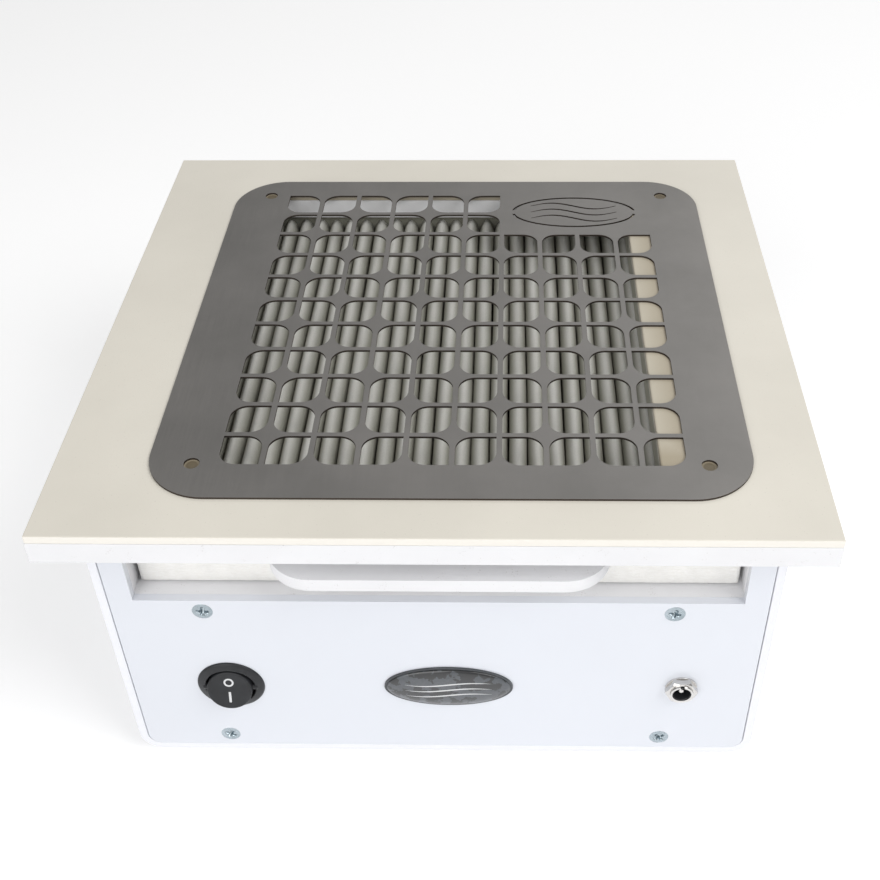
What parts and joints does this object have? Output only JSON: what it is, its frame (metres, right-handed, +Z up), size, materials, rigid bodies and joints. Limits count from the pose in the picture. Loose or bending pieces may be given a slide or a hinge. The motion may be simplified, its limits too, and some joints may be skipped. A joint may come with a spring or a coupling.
{
  "type": "nail dust collector",
  "caption": "Desk-top nail dust collector: padless hand-rest top with laser-cut steel grille, pull-out pleated filter, fan case with rocker switch and DC inlet.",
  "frame": {"origin": "centre of the footprint, at the level the feet stand on", "axes": "+Z up, +Y towards the back, +X to the right as seen from the front with the switch"},
  "size_m": [0.25, 0.24, 0.125],
  "materials": {
    "grille_steel": "matte laser-cut stainless",
    "top_skin": "satin cream acrylic",
    "foam_board": "fine-pitted foamed board",
    "zinc_screw": "zinc plated",
    "case_sheet": "semi-gloss white",
    "front_panel": "high gloss white",
    "rubber_foot": "matte black",
    "filter_frame": "fibrous white felt",
    "filter_paper": "pleated filter paper",
    "switch_black": "fine satin black",
    "white_mark": "printed white",
    "tinned_brass": "tinned",
    "badge_base": "dark printed film",
    "badge_dome": "clear domed resin over grey film",
    "nickel": "bright nickel plate",
    "fan_plastic": "glass filled nylon",
    "rotor_steel": "bright steel",
    "ferrite": "sintered ferrite",
    "cast_flange": "as cast",
    "lamination": "coated laminations",
    "copper": "enamelled copper",
    "red_lead": "insulated wire",
    "black_lead": "insulated wire"
  },
  "bodies": {
    "case": {"top_skin": "top_skin", "top_core": "foam_board", "top_screws": "zinc_screw", "case_shell": "case_sheet", "front_panel": "front_panel", "rear_panel": "case_sheet", "front_screws": "zinc_screw", "rear_screws": "zinc_screw", "base_board": "foam_board", "shelf_board": "foam_board", "rail_left": "foam_board", "rail_right": "foam_board", "back_stop": "foam_board", "feet": "rubber_foot", "foot_screws": "zinc_screw", "switch_body": "switch_black", "switch_terminals": "tinned_brass", "badge_base": "badge_base", "badge_dome": "badge_dome", "jack_body": "nickel", "jack_liner": "switch_black", "jack_pin": "nickel", "jack_washer": "nickel", "jack_nut": "nickel", "jack_lugs": "tinned_brass", "inlet_ring": "fan_plastic", "motor_base": "cast_flange", "motor_screws": "zinc_screw", "bearing_lower": "rotor_steel", "bearing_upper": "rotor_steel", "stator_core": "lamination", "stator_windings": "copper", "lead_feed": "red_lead", "lead_switched": "red_lead", "lead_return": "black_lead"},
    "filter": {"filter_frame": "filter_frame", "filter_media": "filter_paper", "filter_tab": "foam_board"},
    "rocker": {"switch_rocker": "switch_black", "switch_marks": "white_mark"},
    "rotor": {"impeller": "fan_plastic", "rotor_can": "rotor_steel", "rotor_magnets": "ferrite", "motor_shaft": "rotor_steel"},
    "grille": {"grille": "grille_steel"}
  },
  "joints": [
    {"name": "filter_slide", "type": "slide", "parent": "case", "child": "filter", "axis": [0, -1, 0], "range_m": [0, 0.2]},
    {"name": "rocker_tilt", "type": "hinge", "parent": "case", "child": "rocker", "pos_m": [-0.0743, -0.1107, 0.041], "axis": [1, 0, 0], "range_deg": [0, 28]},
    {"name": "rotor_spin", "type": "hinge", "parent": "case", "child": "rotor", "pos_m": [0, 0.01, 0.03], "axis": [0, 0, 1], "continuous": true},
    {"name": "grille_lift", "type": "slide", "parent": "case", "child": "grille", "axis": [0, 0, 1], "range_m": [0, 0.05]}
  ]
}
